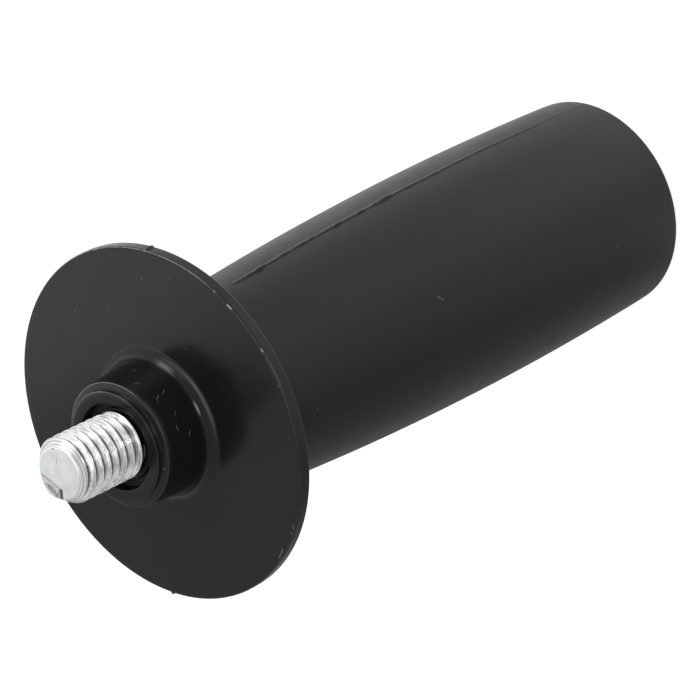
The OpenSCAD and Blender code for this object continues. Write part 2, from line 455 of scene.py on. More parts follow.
# %% Profile of the moulding
neck_z = GRIP_LEN - NECK_FILLET
fillet_x = barrel_x + math.sqrt((barrel_r + NECK_FILLET) ** 2 - (neck_z - BELLY_Z) ** 2)
touch_share = barrel_r / (barrel_r + NECK_FILLET)
touch_z = BELLY_Z + (neck_z - BELLY_Z) * touch_share

hollow = [(0, core_top, 0), (core_top_r, core_top, CORE_FLOOR_R), (mouth_r, 0, 0.15), (tail_r - 0.6, 0, 0)]
hollow = rounded_profile(hollow, 1.6)
edge = rounded_profile([(tail_r - 0.6, 0, 0), (tail_r - TAIL_EDGE, 0, 0.12), (tail_r, TAIL_EDGE, 0.2),
                        (float(barrel_at(1.2)), 1.2, 0)], 0.3)
barrel_heights = np.linspace(1.2, touch_z, 220)
barrel = np.stack([barrel_at(barrel_heights), barrel_heights], -1)
down = np.linspace(math.pi + math.asin((neck_z - touch_z) / NECK_FILLET), math.pi / 2, 9)
neck = np.stack([fillet_x + NECK_FILLET * np.cos(down), neck_z + NECK_FILLET * np.sin(down)], -1)
front = rounded_profile([
    (fillet_x + 0.4, GRIP_LEN, 0),
    (GUARD_R, GRIP_LEN, GUARD_EDGE),
    (GUARD_R, GRIP_LEN + 0.40, 0),
    (GUARD_R, guard_z - 0.40, 0),
    (GUARD_R, guard_z, GUARD_EDGE),
    (BOSS_ROOT_R, guard_z, BOSS_FILLET),
    (BOSS_RIM_R, rim_z, 0.14),
    (SEAT_R, shoulder_z, 0.07),
    (SEAT_R, seat_z, 0.09),
    (RECESS_R, seat_z, 0.10),
    (RECESS_R, recess_z, 0.20),
    (lip_r, recess_z, 0.12),
    (lip_r, recess_z + LIP_H, 0.16),
    (shank_r, recess_z + LIP_H, 0.06),
    (shank_r, recess_z - 1.0, 0)], 0.75)
inside = np.array([(shank_r, head_top), (HEAD_AF / 2, head_top), (HEAD_AF / 2, head_z), (0, head_z)])
moulding = np.concatenate([hollow[:-1], edge[:-1], barrel[:-1], neck, front, inside])
print("rows of the moulding:", len(moulding))

# %% [markdown]
# The columns are crowded where the two halves of the mould meet, because the line of flash there is only
# a fraction of a millimetre wide. They also hold the six corners of the bolt's head.

# %% Columns round the axis
SEAM_STEPS = np.array([-0.85, -0.55, -0.36, -0.24, *np.arange(-0.18, 0.28, 0.03), 0.35, 0.45, 0.60, 0.85])
close = SEAM_STEPS / BELLY_R
regular = np.arange(0, 360, 2.0)
hexagon = np.arange(0, 360, 60.0)
seams = np.degrees(np.concatenate([close, close + math.pi])) % 360
every = np.sort(np.concatenate([regular, hexagon, seams]))
crowded = np.concatenate([[True], np.diff(every) > 0.02])
turn = np.radians(every[crowded])
print("columns:", len(turn))


# %% [markdown]
# The mould leaves its marks on the skin: a thin ridge of flash along the parting line, one half standing
# a hair prouder than the other, and slow waves from uneven shrinkage. The ridge is steep towards one
# half, where the plastic crept under, and it ends below the guard, where the halves closed well. Each is
# a height in millimetres as a function of the place. A displacement texture could do the same, but a
# function keeps the ridge exactly as sharp as it is meant to be.

# %% What the mould leaves
FLASH_HEIGHT, FLASH_NEAR, FLASH_FAR, FLASH_SIDE, HALF_STEP = 0.17, 0.06, 0.28, 0.05, 0.06
SEAM_TOP = 80.5
SWAY_TERMS = [(0.050, 0.31, 0.0), (0.035, 1.9, 0.7), (0.020, 3.7, 0.0)]
FIN_HEIGHT, FIN_HALF, FIN_LEAN = 0.33, 0.35, 0.25
RIM_STEP = 0.04
BLOB_COUNT, BLOB_LENGTH = 22, 0.45

blob_draw = np.random.default_rng(11)
blob_heights = np.append(blob_draw.uniform(12.0, 80.0, BLOB_COUNT), [74.4, 73.8, 48.0])
blob_sizes = np.append(blob_draw.uniform(0.1, 0.7, BLOB_COUNT), [1.2, 1.2, 1.0])


def seam_sway(height):
    """How far the ridge strays from its middle: the sum of size * sin(rate * height + start), in mm."""
    return sum(size * np.sin(rate * height + start) for size, rate, start in SWAY_TERMS)


def blobs(height):
    """Small drops of flash: narrow bells at drawn heights, each with its drawn size."""
    off = (height[..., None] - blob_heights) / BLOB_LENGTH
    return (blob_sizes * np.exp(-off ** 2)).sum(-1)


def flash(side, height):
    """Height of the parting line's ridge: a bell, steep on one side, that fades towards the tail."""
    along = np.clip((height - 6.0) / 45.0, 0, 1)
    off_crest = side - seam_sway(height) - FLASH_SIDE
    bell = np.exp(-(off_crest / np.where(off_crest < 0, FLASH_NEAR, FLASH_FAR)) ** 2)
    uneven = 0.55 + 0.35 * np.sin(height * 1.7) * np.sin(height * 0.61 + 1.0) + blobs(height)
    return FLASH_HEIGHT * bell * np.clip(uneven, 0.05, 1.6) * (0.15 + 0.85 * along)


def mismatch(side, height):
    """One mould half stands prouder: a smooth step across the seam that dies away round the barrel."""
    step = np.tanh((side - seam_sway(height)) / 0.05)
    return HALF_STEP * step * np.exp(-np.abs(side) / 4.0) * np.clip(height / 40, 0.2, 1)


def waves(angle, height):
    """Slow waves of a few hundredths of a millimetre, as a sum of sines that close round the axis."""
    return (0.012 * np.sin(3 * angle + height * 0.05) + 0.008 * np.sin(5 * angle - height * 0.09 + 1.3)
            + 0.006 * np.sin(2 * angle + height * 0.21 + 0.4))


print("drops of flash:", len(blob_heights))

# %% [markdown]
# Now the skin itself. The radius of each row is repeated for every column, the pocket of the bolt's head
# gets its hexagon, and the heights from above move the grip along its own radius. The guard's rim gets a
# fin of flash at each end of the parting line, and one half of the rim lies a little lower than the
# other.

# %% Skin of the moulding
radius = np.repeat(moulding[:, :1], len(turn), axis=1)
height = np.repeat(moulding[:, 1:], len(turn), axis=1)
angle = np.repeat(turn[None], len(moulding), axis=0)
first_hex = len(moulding) - 3
flat_angle = (angle[first_hex:first_hex + 2] % (math.pi / 3)) - math.pi / 6
radius[first_hex:first_hex + 2] = HEAD_AF / 2 / np.cos(flat_angle)
grip_start, grip_end = len(hollow) - 1, len(hollow) + len(edge) + len(barrel) - 3
on_grip = slice(grip_start, grip_end)
side = np.sin(angle[on_grip]) * radius[on_grip] * np.sign(np.cos(angle[on_grip]))
grip_height = height[on_grip]
lift = flash(side, grip_height) + mismatch(side, grip_height) + waves(angle[on_grip], grip_height)
fade = np.clip((SEAM_TOP - grip_height) / 1.5, 0, 1) * np.clip((grip_height - 0.2) / 1.0, 0, 1)
radius[on_grip] += np.where(fade > 0, lift * fade, 0)
rim_side = np.sin(angle) * GUARD_R * np.sign(np.cos(angle))
on_rim = (height > GRIP_LEN + 0.39) & (height < guard_z - 0.11) & (radius > GUARD_R - 0.10)
fin_lean = FIN_LEAN * (guard_z - height) / GUARD_T
fin = FIN_HEIGHT * np.clip(1 - np.abs(rim_side - fin_lean) / FIN_HALF, 0, 1)
low_half = RIM_STEP * (1 - np.tanh(rim_side / 0.06)) / 2 * np.exp(-np.abs(rim_side) / 6.0)
near_rim = np.clip((radius - GUARD_R + 0.5) / 0.5, 0, 1) * (height > GRIP_LEN - 0.1)
radius += np.where(on_rim, fin, 0.0) - low_half * near_rim
skin = np.stack([radius * np.cos(angle), radius * np.sin(angle), height], -1)
body_mesh = turned_mesh("handle_body_skin", skin)


# %% [markdown]
# Both materials have the fine unevenness of a moulded or plated surface, so it is made once, as a group
# with its scales as inputs. It is two sizes of noise, mixed to one height. The coarse one also comes out
# alone, as a blotch, because polish and dirt vary more slowly than the grain does.

# %% Group: grain
grain, grain_in = new_group("grain", Fine_Scale=3000.0, Coarse_Scale=400.0, Coarse_Share=0.5)
place = object_place(grain)
fine = add_node(grain, "ShaderNodeTexNoise", {
    "Vector": place, "Scale": grain_in["Fine Scale"], "Detail": 3.0, "Roughness": 0.6}).outputs["Fac"]
coarse = add_node(grain, "ShaderNodeTexNoise", {
    "Vector": place, "Scale": grain_in["Coarse Scale"], "Detail": 4.0, "Roughness": 0.55}).outputs["Fac"]
put_out(grain, Height=mix(grain, "FLOAT", grain_in["Coarse Share"], fine, coarse), Blotch=coarse)
print("nodes in the group grain:", len(grain.nodes))

# %% [markdown]
# Dust on the plastic and tiny pits in the zinc are small scattered spots. They are the cells of a Voronoi
# pattern, each with a spot near its middle, and only a share of the cells keeps its spot. Modelled specks
# would cost thousands of faces for what is a fraction of a pixel here.

# %% Group: specks
specks, specks_in = new_group("specks", Scale=300.0, Size=0.12, Share=0.1)
cells = add_node(specks, "ShaderNodeTexVoronoi", {
    "Vector": object_place(specks), "Scale": specks_in["Scale"]}, feature="F1").outputs
spot = ramp(specks, cells["Distance"], 0.0, specks_in["Size"], 1.0, 0.0)
draw = add_node(specks, "ShaderNodeSeparateColor", {"Color": cells["Color"]}).outputs["Red"]
kept = calc(specks, "LESS_THAN", draw, specks_in["Share"])
put_out(specks, Mask=calc(specks, "MULTIPLY", spot, kept))
print("nodes in the group specks:", len(specks.nodes))

# %% [markdown]
# A few marks are where they are because something happened there: a scuff on the boss, a fleck on the
# grip, a pit in the zinc. Each is a capsule: all places closer to a short line than a given half width.
# The nearest point of the line is found with two dot products, and the mask fades from 1 on the line to 0
# at that distance.

# %% Group: mark
mark, mark_in = new_group("mark", Start=None, End=None, Half_Width=0.0001)
along = vector_calc(mark, "SUBTRACT", mark_in["End"], mark_in["Start"])
reach = vector_calc(mark, "SUBTRACT", object_place(mark), mark_in["Start"])
over = vector_calc(mark, "DOT_PRODUCT", reach, along)
square = vector_calc(mark, "DOT_PRODUCT", along, along)
nearest = vector_calc(mark, "SCALE", along, calc(mark, "DIVIDE", over, square, use_clamp=True))
off_line = vector_calc(mark, "DISTANCE", reach, nearest)
put_out(mark, Mask=ramp(mark, off_line, 0.0, mark_in["Half Width"], 1.0, 0.0, "SMOOTHSTEP"))


def marks(tree, places, *masks):
    """The strongest of some masks and of several marks, each with a start, an end and a half width."""
    for start, end, half_width in places:
        spot = use_group(tree, mark, Start=[v * MM for v in start], End=[v * MM for v in end],
                         Half_Width=half_width * MM)
        masks += (spot["Mask"],)
    return chain(tree, "MAXIMUM", *masks)


print("nodes in the group mark:", len(mark.nodes))

# %% [markdown]
# The plastic is black nylon: it sends back little light of its own, so nearly all that is seen is the
# reflection of the studio. The finish is satin on the grip, where the mould was textured, smoother on the
# guard, and glossy on the boss, where it was polished. So Base Color stays nearly black and the roughness,
# chosen by height and by distance from the axis, carries the look. Scuffs are a little lighter and duller.

# %% Material: black plastic
PLASTIC_BLACK = (0.0065, 0.0066, 0.0070, 1.0)
# One grey serves the real scuffs, dust and nicks and the painted highlights on the rims and along the flash.
SCUFF_AND_HIGHLIGHT_GREY = (0.30, 0.30, 0.30, 1.0)
MARK_SHARE, EDGE_HIGHLIGHT_AND_NICK_SHARE, FLASH_HIGHLIGHT_SHARE = 0.30, 0.85, 0.47
GRIP_ROUGH, GUARD_ROUGH, BOSS_ROUGH, RECESS_ROUGH = 0.40, 0.20, 0.15, 0.50
ROUGH_VARIES = 0.03
PLASTIC_IOR, PLASTIC_SHINE = 1.5, 0.26
RELIEF = 0.00003
FLAT = (1.0, 1.0, 0.0)
BOSS_MARKS = [
    ((9.46, 0.42, 100.67), (9.50, -0.04, 100.45), 0.10),
    ((8.99, -2.13, 102.87), (8.95, -2.51, 102.35), 0.09),
    ((7.93, -5.20, 100.62), (7.63, -5.52, 101.19), 0.08),
    ((7.64, -5.38, 101.87), (7.43, -5.56, 102.48), 0.08),
    ((7.43, -5.56, 102.48), (7.15, -5.89, 102.59), 0.08),
    ((4.01, -8.42, 102.00), (3.37, -8.70, 101.97), 0.09),
    ((2.77, -9.13, 100.09), (2.17, -9.23, 100.55), 0.10),
    ((5.65, -7.53, 101.20), (5.19, -7.84, 101.33), 0.06),
    ((-1.29, -7.76, 104.68), (-1.43, -8.35, 104.68), 0.14),
    ((-2.26, -7.30, 104.68), (-2.02, -8.06, 104.68), 0.08),
]
GUARD_MARKS = [
    ((12.94, -6.21, 96.75), (12.76, -6.19, 96.75), 0.09),
    ((21.51, 1.28, 96.75), (21.18, 1.07, 96.75), 0.09),
    ((-12.96, -21.60, 96.75), (-14.44, -20.86, 96.75), 0.16),
    ((-8.78, -23.70, 96.75), (-9.42, -23.80, 96.75), 0.14),
    ((-10.00, -23.35, 96.75), (-10.43, -23.41, 96.75), 0.14),
    ((13.60, 14.55, 96.75), (13.45, 14.30, 96.75), 0.10),
    ((15.60, 7.95, 96.75), (15.50, 7.75, 96.75), 0.08),
    ((22.40, -3.75, 96.75), (22.50, -3.95, 96.75), 0.08),
    ((11.40, -22.85, 96.75), (11.52, -22.62, 96.75), 0.12),
]
RIM_NICKS = [
    ((16.05, -20.00, 96.70), (15.85, -20.15, 96.70), 0.20),
    ((20.75, -14.95, 96.70), (21.20, -14.30, 96.70), 0.18),
    ((22.68, -12.00, 96.70), (22.58, -12.20, 96.70), 0.16),
]
GRIP_MARKS = [
    ((7.30, -14.72, 53.95), (6.60, -15.05, 53.20), 0.16),
    ((-3.71, -14.20, 83.49), (-3.60, -14.22, 83.30), 0.10),
    ((1.80, -16.65, 15.29), (1.95, -16.62, 15.10), 0.12),
    ((0.13, -14.89, 80.82), (0.23, -14.89, 80.67), 0.14),
]

plastic, tree = new_material("black_plastic")
skin_grain = use_group(tree, grain, Fine_Scale=2600.0, Coarse_Scale=260.0, Coarse_Share=0.35)
dust = use_group(tree, specks, Scale=170.0, Size=0.06, Share=0.06)["Mask"]
scuffs = marks(tree, BOSS_MARKS + GUARD_MARKS + GRIP_MARKS, dust)
scuffed = calc(tree, "MULTIPLY", scuffs, MARK_SHARE)
place = object_place(tree)
coords = add_node(tree, "ShaderNodeSeparateXYZ", {"Vector": place}).outputs
flat_place = vector_calc(tree, "MULTIPLY", place, FLAT)
from_axis = vector_calc(tree, "LENGTH", flat_place)
print("placed marks on the plastic:", len(BOSS_MARKS + GUARD_MARKS + GRIP_MARKS))

# %% [markdown]
# The rims of the guard, of the boss and of the seat get a painted highlight: a lighter grey along each
# rounded edge, strongest on the side that faces the light. Each of these edges is a ring, so in the plane of
# radius and height it is a single point, and the mask is simply how near that point is. The noise breaks it
# into short pieces, and three real nicks in the guard's rim are listed one by one. A bevel shader finds
# edges by itself, but it would find every edge alike.

# %% Painted highlight on the edges
# Painted highlight: each rounded rim is mixed towards a lighter grey, strongest on the side that faces the
# light.
HIGHLIT_EDGES = [(25.66, 96.68, 0.13), (8.98, 104.61, 0.07), (7.96, 105.51, 0.06)]
HIGHLIGHT_HEADING = heading(28.0)
outline = add_node(tree, "ShaderNodeCombineXYZ", {"X": from_axis, "Y": coords["Z"]}).outputs["Vector"]
bands = []
for ring_r, ring_z, half_width in HIGHLIT_EDGES:
    off_edge = vector_calc(tree, "DISTANCE", outline, (ring_r * MM, ring_z * MM, 0.0))
    bands.append(ramp(tree, off_edge, half_width * MM, 0.3 * half_width * MM))
facing = calc(tree, "DIVIDE", vector_calc(tree, "DOT_PRODUCT", flat_place, HIGHLIGHT_HEADING), from_axis)
lit_side = ramp(tree, facing, 0.55, 0.85, 0.1)
broken = ramp(tree, skin_grain["Height"], 0.40, 0.60, 0.15, EDGE_HIGHLIGHT_AND_NICK_SHARE)
edge_highlight_and_nicks = chain(tree, "MULTIPLY", chain(tree, "MAXIMUM", *bands), broken, lit_side)
nicks = calc(tree, "MULTIPLY", marks(tree, RIM_NICKS), EDGE_HIGHLIGHT_AND_NICK_SHARE)
print("edges with painted highlight:", len(HIGHLIT_EDGES), "nicks:", len(RIM_NICKS))

# %% [markdown]
# The crest of the flash gets a painted highlight: a thin light line beside the ridge's own shadow.
# Nodes work out the same sum of sines that the ridge sways by, and the mask is how near a place is to it.
# It lies a little past the crest, so that the steep dark side stays dark.

# %% Painted highlight along the parting line
HIGHLIGHT_BEYOND = 0.05
sway = (FLASH_SIDE + HIGHLIGHT_BEYOND) * MM
for size, rate, start in SWAY_TERMS:
    phase = calc(tree, "MULTIPLY_ADD", coords["Z"], rate / MM, start)
    sway = calc(tree, "MULTIPLY_ADD", calc(tree, "SINE", phase), size * MM, sway)
seam_side = calc(tree, "MULTIPLY", calc(tree, "SIGN", coords["X"]), coords["Y"])
off_flash = calc(tree, "ABSOLUTE", calc(tree, "SUBTRACT", seam_side, sway))
flash_band = ramp(tree, off_flash, 0.09 * MM, 0.03 * MM)
up_grip = ramp(tree, coords["Z"], 6.0 * MM, 60.0 * MM, high=FLASH_HIGHLIGHT_SHARE)
below_neck = ramp(tree, coords["Z"], SEAM_TOP * MM, (SEAM_TOP - 2.0) * MM)
on_barrel = calc(tree, "MULTIPLY", up_grip, below_neck)
patchy = ramp(tree, skin_grain["Height"], 0.42, 0.55, 0.1)
# Painted highlight along the flash, broken into patches by the grain.
flash_highlight = chain(tree, "MULTIPLY", flash_band, patchy, on_barrel)
print("sines in the sway of the flash:", len(SWAY_TERMS))

# %% [markdown]
# The masks come together here: real scuffs, dust and nicks, and the painted highlights on the rims and the
# flash. The strongest one at each place mixes the black towards one lighter grey. The grain, with the scuffs
# standing out of it, is too fine for the mesh, so it is a bump of three hundredths of a millimetre.

# %% Colour and relief of the plastic
# The painted edge highlight and the real nicks in the rim become one mask.
edge_highlight_and_nicks = calc(tree, "MAXIMUM", edge_highlight_and_nicks, nicks)
lighter = chain(tree, "MAXIMUM", edge_highlight_and_nicks, flash_highlight, scuffed)
colour = mix(tree, "RGBA", lighter, PLASTIC_BLACK, SCUFF_AND_HIGHLIGHT_GREY)
raised = calc(tree, "MULTIPLY_ADD", scuffed, 2.0, skin_grain["Height"])
bump = add_node(tree, "ShaderNodeBump", {"Strength": 0.35, "Distance": RELIEF, "Height": raised})
print("relief of the plastic, mm:", RELIEF / MM)

# %% [markdown]
# One moulding has four finishes, because the mould had them: satin where the grip was textured, smoother
# on the guard, polished on the boss, and rough in the recess round the bolt, which no polish reached.
# Four tests of height and radius choose between them, one after the other, and the blotch of the grain
# varies each. Separate materials would need the mesh cut along every border.

# %% Where the plastic is satin and where it is glossy
on_guard = calc(tree, "GREATER_THAN", coords["Z"], (GRIP_LEN - 0.5) * MM)
close_in = ramp(tree, from_axis, 11.8 * MM, 10.8 * MM)
above_guard = calc(tree, "GREATER_THAN", coords["Z"], (guard_z - 0.1) * MM)
on_boss = calc(tree, "MULTIPLY", close_in, above_guard)
in_recess = ramp(tree, from_axis, 6.6 * MM, 6.4 * MM)
below_seat = ramp(tree, coords["Z"], (seat_z - 0.1) * MM, (seat_z - 0.3) * MM)
dulled = calc(tree, "MULTIPLY", in_recess, below_seat)
finish = mix(tree, "FLOAT", on_guard, GRIP_ROUGH, GUARD_ROUGH)
finish = mix(tree, "FLOAT", on_boss, finish, BOSS_ROUGH)
finish = mix(tree, "FLOAT", dulled, finish, RECESS_ROUGH)
uneven = ramp(tree, skin_grain["Blotch"], 0.3, 0.7, -ROUGH_VARIES, ROUGH_VARIES)
end_material(tree, {
    "IOR": PLASTIC_IOR, "Specular IOR Level": PLASTIC_SHINE, "Base Color": colour,
    "Normal": bump.outputs["Normal"], "Roughness": calc(tree, "ADD", finish, uneven)})
print("nodes in black_plastic:", len(tree.nodes))

finished_piece("handle_body_skin", body_mesh, plastic, "black_plastic", "handle_body")

# %% [markdown]
# In the hollow tail, four ribs cross at a hub. Seen along the axis their outline is a star shape: from the
# middle, each direction meets the outline once. So the ribs are one grid too. The radius at an angle is the
# larger of the hub's radius and the distance at which that direction leaves a rib's side.
# Ribs and hub grow with depth, so that the mould's core could be drawn out of them.

# %% Ribs of the tail
RIB_T, RIB_DRAFT, RIB_INSET, HUB_R = 2.0, math.radians(0.5), 3.0, 4.0
SUNK = 0.4
RIB_EDGE = 0.25

hub_turn, wall_turn = math.asin(RIB_T / 2 / HUB_R), math.asin(RIB_T / 2 / mouth_r)
quarter = np.concatenate([
    np.linspace(0, wall_turn, 5),
    wall_turn + (hub_turn - wall_turn) * np.linspace(0.04, 1, 14) ** 1.6,
    np.linspace(hub_turn, math.pi / 4, 7)[1:]])
eighths = np.concatenate([quarter, math.pi / 2 - quarter[::-1][1:]])[:-1]
star = np.concatenate([eighths + k * math.pi / 2 for k in range(4)])


def star_radius(angle, half, hub, wall):
    """Distance from the axis to the outline of hub and ribs: the rib's side is at half / sin(angle)."""
    off_rib = np.abs((angle + math.pi / 4) % (math.pi / 2) - math.pi / 4)
    to_side = half / np.maximum(np.sin(off_rib), 1e-6)
    return np.maximum(hub, np.minimum(to_side, wall))


depth = np.concatenate([[0.0, 0.0], RIB_EDGE * (1 - np.cos(np.linspace(0, math.pi / 2, 5))),
                        np.linspace(2, core_top + SUNK - RIB_INSET, 14)])
shrink = np.concatenate([[9.0, RIB_EDGE], RIB_EDGE * (1 - np.sin(np.linspace(0, math.pi / 2, 5))),
                         np.zeros(14)])
rib_rows = []
for level, inward in zip(depth, shrink):
    grown = level * math.tan(RIB_DRAFT)
    wall = mouth_r - (RIB_INSET + level) * math.tan(CORE_DRAFT) + SUNK
    change = grown - min(inward, RIB_T / 2)
    reach = star_radius(star, RIB_T / 2 + change, HUB_R + change, wall)
    here = np.full_like(star, RIB_INSET + level)
    rib_rows.append(np.stack([reach * np.cos(star), reach * np.sin(star), here], -1))
rib_rows[0] = rib_rows[0] * np.array([0, 0, 1.0])
rib_rows.append(rib_rows[-1] * np.array([0, 0, 1.0]))
rib_mesh = turned_mesh("tail_ribs", np.stack(rib_rows)[::-1])
finished_piece("tail_ribs", rib_mesh, plastic, "black_plastic")

# %% [markdown]
# The bolt's thread is rolled: the metal is pressed into crests, so they are rounded, and the flanks lean at
# 30 degrees. The surface is a radius that depends on height and angle. The height is first shifted by the
# angle's share of one pitch, which makes the rings of the profile climb as a helix, and then folded into one
# pitch. A cone at the end of the stud and a run-out at its root cut the crests off smoothly.
# A profile swept along a helix would need its start and end sewn up by hand.

# %% Thread as a function of height and angle
THREAD_HAND = -1
THREAD_PHASE = 0.1
THREAD_DEPTH = 0.6134 * PITCH
CREST_HALF, CREST_SOFT, ROOT_SOFT = 0.08, 0.24, 0.22
FLANK = math.tan(math.radians(30.0))
THREAD_START, FIRST_TURN = recess_z + 0.25, 0.6
END_FLAT_R = THREAD_R - END_CHAMFER


def soft_lower(a, b, softness):
    """The lower of two values, with the corner between them rounded over about that softness."""
    gap = np.clip(0.5 + 0.5 * (b - a) / softness, 0, 1)
    return b * (1 - gap) + a * gap - softness * gap * (1 - gap)


def thread_radius(height, angle):
    """Radius of the threaded stud: crest, 30 degree flank, rounded root, and a run-out at the start."""
    climb = (height - THREAD_HAND * PITCH * angle / (2 * math.pi)) / PITCH + THREAD_PHASE
    off_crest = np.abs(climb - np.round(climb)) * PITCH
    drop = (off_crest - CREST_HALF) / FLANK
    drop = -soft_lower(-drop, np.zeros_like(drop), CREST_SOFT)
    drop = soft_lower(drop, np.full_like(drop, THREAD_DEPTH), ROOT_SOFT)
    grown = np.clip((height - THREAD_START) / FIRST_TURN, 0, 1)
    crest = shank_r + (THREAD_R - shank_r) * grown
    return np.maximum(crest - drop, THREAD_R - THREAD_DEPTH)


print("depth of the thread, mm:", round(THREAD_DEPTH, 3))

# %% [markdown]
# The end of the bolt was cropped, not turned: one side has torn. Past a straight cut the end slopes away,
# then comes a rough patch, and a narrow slot ends it. They are one depth, as a function of the place on the
# end. On that side the chamfer is missing as well: the flat end bulges out almost to the full radius.

# %% Torn end of the bolt
CUT_HEADING, CUT_DISTANCE, CUT_SLOPE, CUT_REACH = math.radians(158.6), 2.03, 0.15, 1.2
PATCH_START, PATCH_SIDE, PATCH_DEPTH, PATCH_ROUGH = 2.36, 0.62, 0.10, 0.06
SLOT_SIDE, SLOT_HALF, SLOT_DEPTH = 0.15, 0.36, 0.30
TEAR_SOFT = 0.12
BULGE, BULGE_HEADING, BULGE_HALF = 0.80, math.radians(143.0), math.radians(48.0)


def torn_end(x, y):
    """Depth lost at a place on the end: a slope past the cut, a rough patch beyond, a slot beside it."""
    past_cut = math.cos(CUT_HEADING) * x + math.sin(CUT_HEADING) * y - CUT_DISTANCE
    slope = CUT_SLOPE * np.clip(past_cut, 0, CUT_REACH) * np.clip((y + 0.2) / 0.3, 0, 1)
    rough = PATCH_ROUGH * np.sin(9 * x + 3 * y) * np.sin(11 * y - 4 * x + 1)
    patch = np.clip((-x - PATCH_START) / TEAR_SOFT, 0, 1) * np.clip((y - PATCH_SIDE) / TEAR_SOFT, 0, 1)
    slot = np.clip((-x - PATCH_START) / TEAR_SOFT, 0, 1) * np.exp(-((y - SLOT_SIDE) / SLOT_HALF) ** 4)
    return np.maximum(slope + patch * (PATCH_DEPTH + rough), slot * SLOT_DEPTH)


print("the flat end grows on the torn side by, mm:", BULGE)

# %% [markdown]
# The bolt is again one closed grid, from the flat end of the stud to the underside of its hexagon head.
# Along the thread there are 24 rows to each pitch, so that each crest and root is rounded by the mesh
# itself. In the photograph the turns climb to the left, and the visible end stands a fraction of a
# millimetre off the axis, as a bolt does that was moulded in a little crooked. Both are named values
# here.

# %% Skin of the bolt
ROWS_PER_PITCH = 24
LEAN_HEADING, LEAN_FOOT, LEAN_TIP = math.radians(33.0), 0.10, 0.25
RIPPLE, RIPPLE_PITCH = 0.015, 0.33

thread_bottom = recess_z + 0.2
cap_radii = np.linspace(0, END_FLAT_R - 0.04, 34)
cap = np.stack([cap_radii, np.full_like(cap_radii, stud_top)], -1)
thread_heights = np.arange(stud_top, thread_bottom, -PITCH / ROWS_PER_PITCH)[1:]
below = np.array([(shank_r, thread_bottom - 0.2), (shank_r, 100.0), (shank_r, head_top + 0.02)])
bolt_turn = np.radians(np.arange(0, 360, 1.5))
angle = bolt_turn[None]


def ring(radius, height):
    """Rows of points from radii and heights, each a single value, one per row or one per column."""
    radius, height, turned = np.broadcast_arrays(radius, height, angle)
    return np.stack([radius * np.cos(turned), radius * np.sin(turned), height], -1)


heights = thread_heights[:, None]
off_end = stud_top - heights
off_bulge = np.abs((angle - BULGE_HEADING + math.pi) % (2 * math.pi) - math.pi) / BULGE_HALF
flat_r = END_FLAT_R + BULGE * (0.5 + 0.5 * np.cos(math.pi * np.clip(off_bulge, 0, 1)))
cone = flat_r + off_end * (THREAD_R - flat_r) / END_CHAMFER
ring_lift = RIPPLE * np.sin(2 * math.pi * off_end / RIPPLE_PITCH)
cone = cone + ring_lift * np.clip(END_CHAMFER - off_end, 0, 0.2) / 0.2
cone = soft_lower(cone, np.full_like(cone, THREAD_R + 0.2), 0.3)
threaded = soft_lower(thread_radius(heights, angle), cone + 0 * angle, 0.12)
hexagon_r = HEAD_AF / 2 / np.cos((angle % (math.pi / 3)) - math.pi / 6)
chamfer_top = head_z + (hexagon_r - HEAD_AF / 2) * math.tan(math.radians(30.0))
bolt_rows = np.concatenate([
    ring(cap[:, :1] * flat_r / END_FLAT_R, cap[:, 1:]),
    ring(threaded, heights),
    ring(below[:, :1], below[:, 1:]),
    ring(hexagon_r, head_top),
    ring(hexagon_r, chamfer_top),
    ring(HEAD_AF / 2, head_z),
    ring(0.0, head_z)])
x, y, z = bolt_rows[..., 0], bolt_rows[..., 1], bolt_rows[..., 2].copy()
near_end = np.clip((z - stud_top + 1.35) / 0.9, 0, 1)
bolt_rows[..., 2] -= torn_end(x, y) * near_end
lean = LEAN_FOOT + (LEAN_TIP - LEAN_FOOT) * (z - seat_z) / STUD_OUT
lean = lean * np.clip((z - 100.0) / 3.0, 0, 1)
bolt_rows[..., 0] += lean * math.cos(LEAN_HEADING)
bolt_rows[..., 1] += lean * math.sin(LEAN_HEADING)
bolt_mesh = turned_mesh("threaded_stud_skin", bolt_rows[::-1])

# %% [markdown]
# The stud is bright zinc. It is a mirror with a slightly rough face, so it shows white tent and black
# plastic side by side. Bolts are plated by the thousand in a turning drum, and knocking about there leaves
# scattered pits, a few deeper dents, and dull spots on the torn end.

# %% Material: zinc plate
ZINC = (0.87, 0.88, 0.88, 1.0)
# One dark grey serves the real pits, dents and torn spots and the painted shade of the thread.
PIT_AND_SHADE_GREY = (0.06, 0.06, 0.06, 1.0)
ZINC_MARKS = [
    ((3.59, 1.21, 116.25), (3.62, 0.83, 116.25), 0.10),
    ((3.64, -1.05, 116.25), (3.50, -1.15, 116.25), 0.06),
    ((2.30, 0.50, 116.25), (1.45, 0.52, 116.25), 0.045),
    ((-0.30, 1.20, 116.25), (-0.38, 1.12, 116.25), 0.07),
    ((4.30, -2.30, 114.31), (4.07, -2.65, 114.44), 0.26),
    ((2.39, -4.11, 111.76), (1.86, -4.35, 111.78), 0.16),
    ((2.53, -4.04, 113.33), (2.01, -4.29, 113.36), 0.14),
    ((2.24, -4.19, 108.66), (1.75, -4.39, 108.79), 0.12),
    ((-2.50, 0.15, 115.98), (-3.70, 0.09, 115.98), 0.44),
    ((-2.50, 0.45, 115.98), (-3.70, 0.39, 115.98), 0.44),
]
TORN_MARKS = [
    ((-2.50, 2.65, 116.0), (-3.45, 1.10, 116.0), 0.85),
    ((-0.85, 3.25, 116.2), (-1.85, 0.30, 116.2), 0.08),
]
